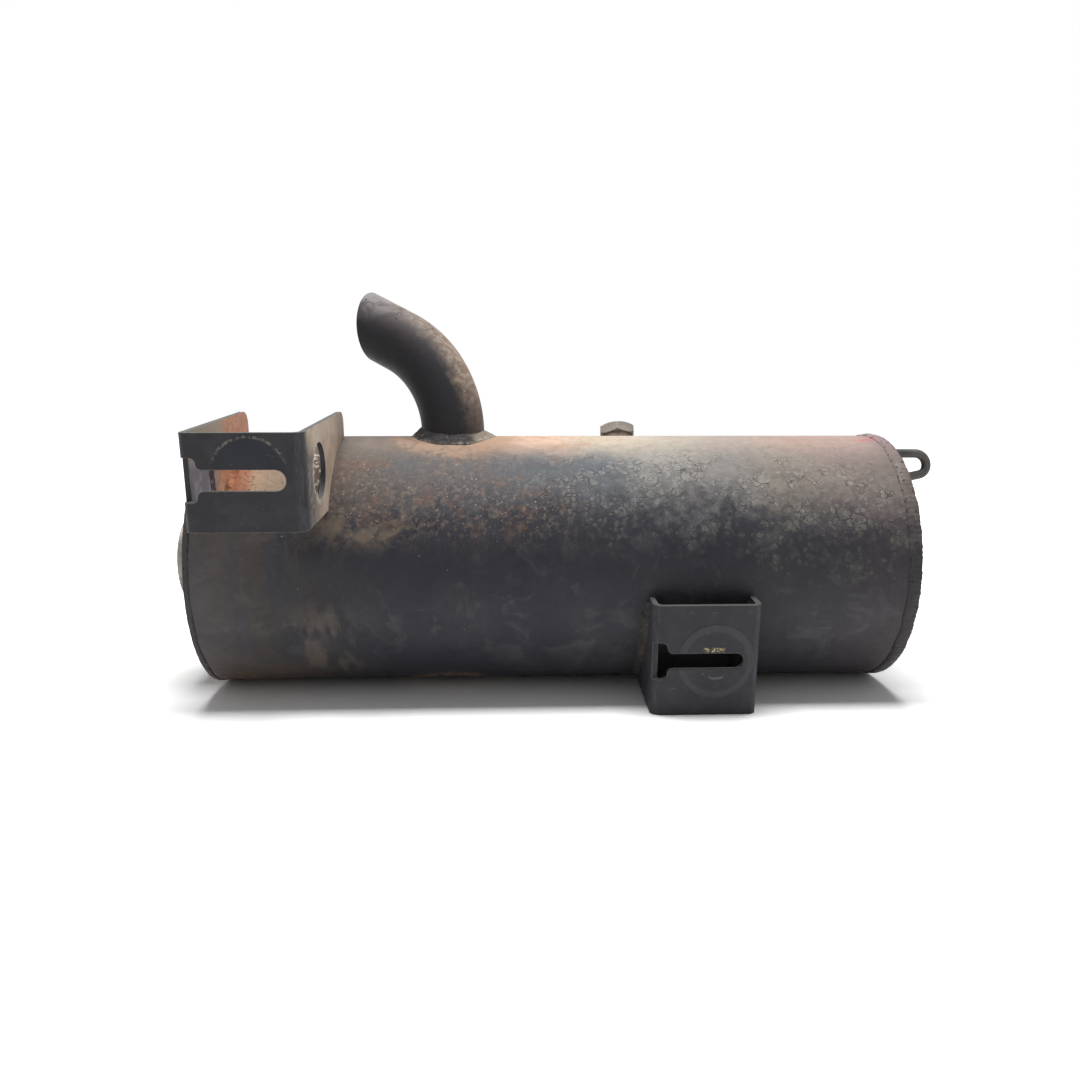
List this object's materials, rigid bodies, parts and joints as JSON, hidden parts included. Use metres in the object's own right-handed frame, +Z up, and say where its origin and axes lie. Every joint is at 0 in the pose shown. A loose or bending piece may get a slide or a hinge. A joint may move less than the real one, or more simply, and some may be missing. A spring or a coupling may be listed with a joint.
{
  "type": "spark arrestor muffler",
  "caption": "Cylindrical engine muffler with welded heads, an axial inlet, a bent tail pipe, folded slotted mounting brackets, a hex clean-out plug and a rod hanger loop.",
  "frame": {"origin": "middle of the bottom of the whole muffler's bounding box, on the floor that it rests on", "axes": "+X along the shell's axis, from the inlet head to the head with the rod loop; +Z up, as the muffler rests; the brackets face -Y"},
  "size_m": [0.5051, 0.218, 0.2638],
  "materials": {
    "shell_steel": "worn heat-scaled black coating over rolled sheet steel, mottled and rusty on top",
    "head_steel": "worn heat-scaled black coating over pressed sheet steel",
    "weld_metal": "rough burnt weld metal, dark with light flecks",
    "inlet_steel": "light worn steel tube, mottled",
    "inner_steel": "sooted sheet steel",
    "tail_pipe_steel": "charcoal coating worn brown-grey on the outside of the bend",
    "bracket_steel": "satin charcoal coating with worn light edges",
    "boss_steel": "browned steel",
    "plug_steel": "dull worn steel",
    "rod_steel": "dull dark steel rod"
  },
  "bodies": {
    "root": {"shell": "shell_steel", "shell_seam_weld": "weld_metal", "left_head": "head_steel", "left_head_weld": "weld_metal", "right_head": "head_steel", "right_head_weld": "weld_metal", "inlet_tube": "inlet_steel", "inlet_weld": "weld_metal", "inlet_cap": "inner_steel", "swirl_vanes": "inner_steel", "left_baffle": "inner_steel", "right_baffle": "inner_steel", "front_return_tube": "inner_steel", "rear_return_tube": "inner_steel", "tail_pipe": "tail_pipe_steel", "tail_pipe_weld": "weld_metal", "upper_bracket": "bracket_steel", "upper_bracket_left_weld": "weld_metal", "upper_bracket_right_weld": "weld_metal", "lower_bracket": "bracket_steel", "lower_bracket_left_weld": "weld_metal", "lower_bracket_right_weld": "weld_metal", "cleanout_boss": "boss_steel", "cleanout_boss_weld": "weld_metal", "cleanout_plug": "plug_steel", "hanger_loop": "rod_steel", "hanger_loop_welds": "weld_metal"}
  },
  "joints": []
}
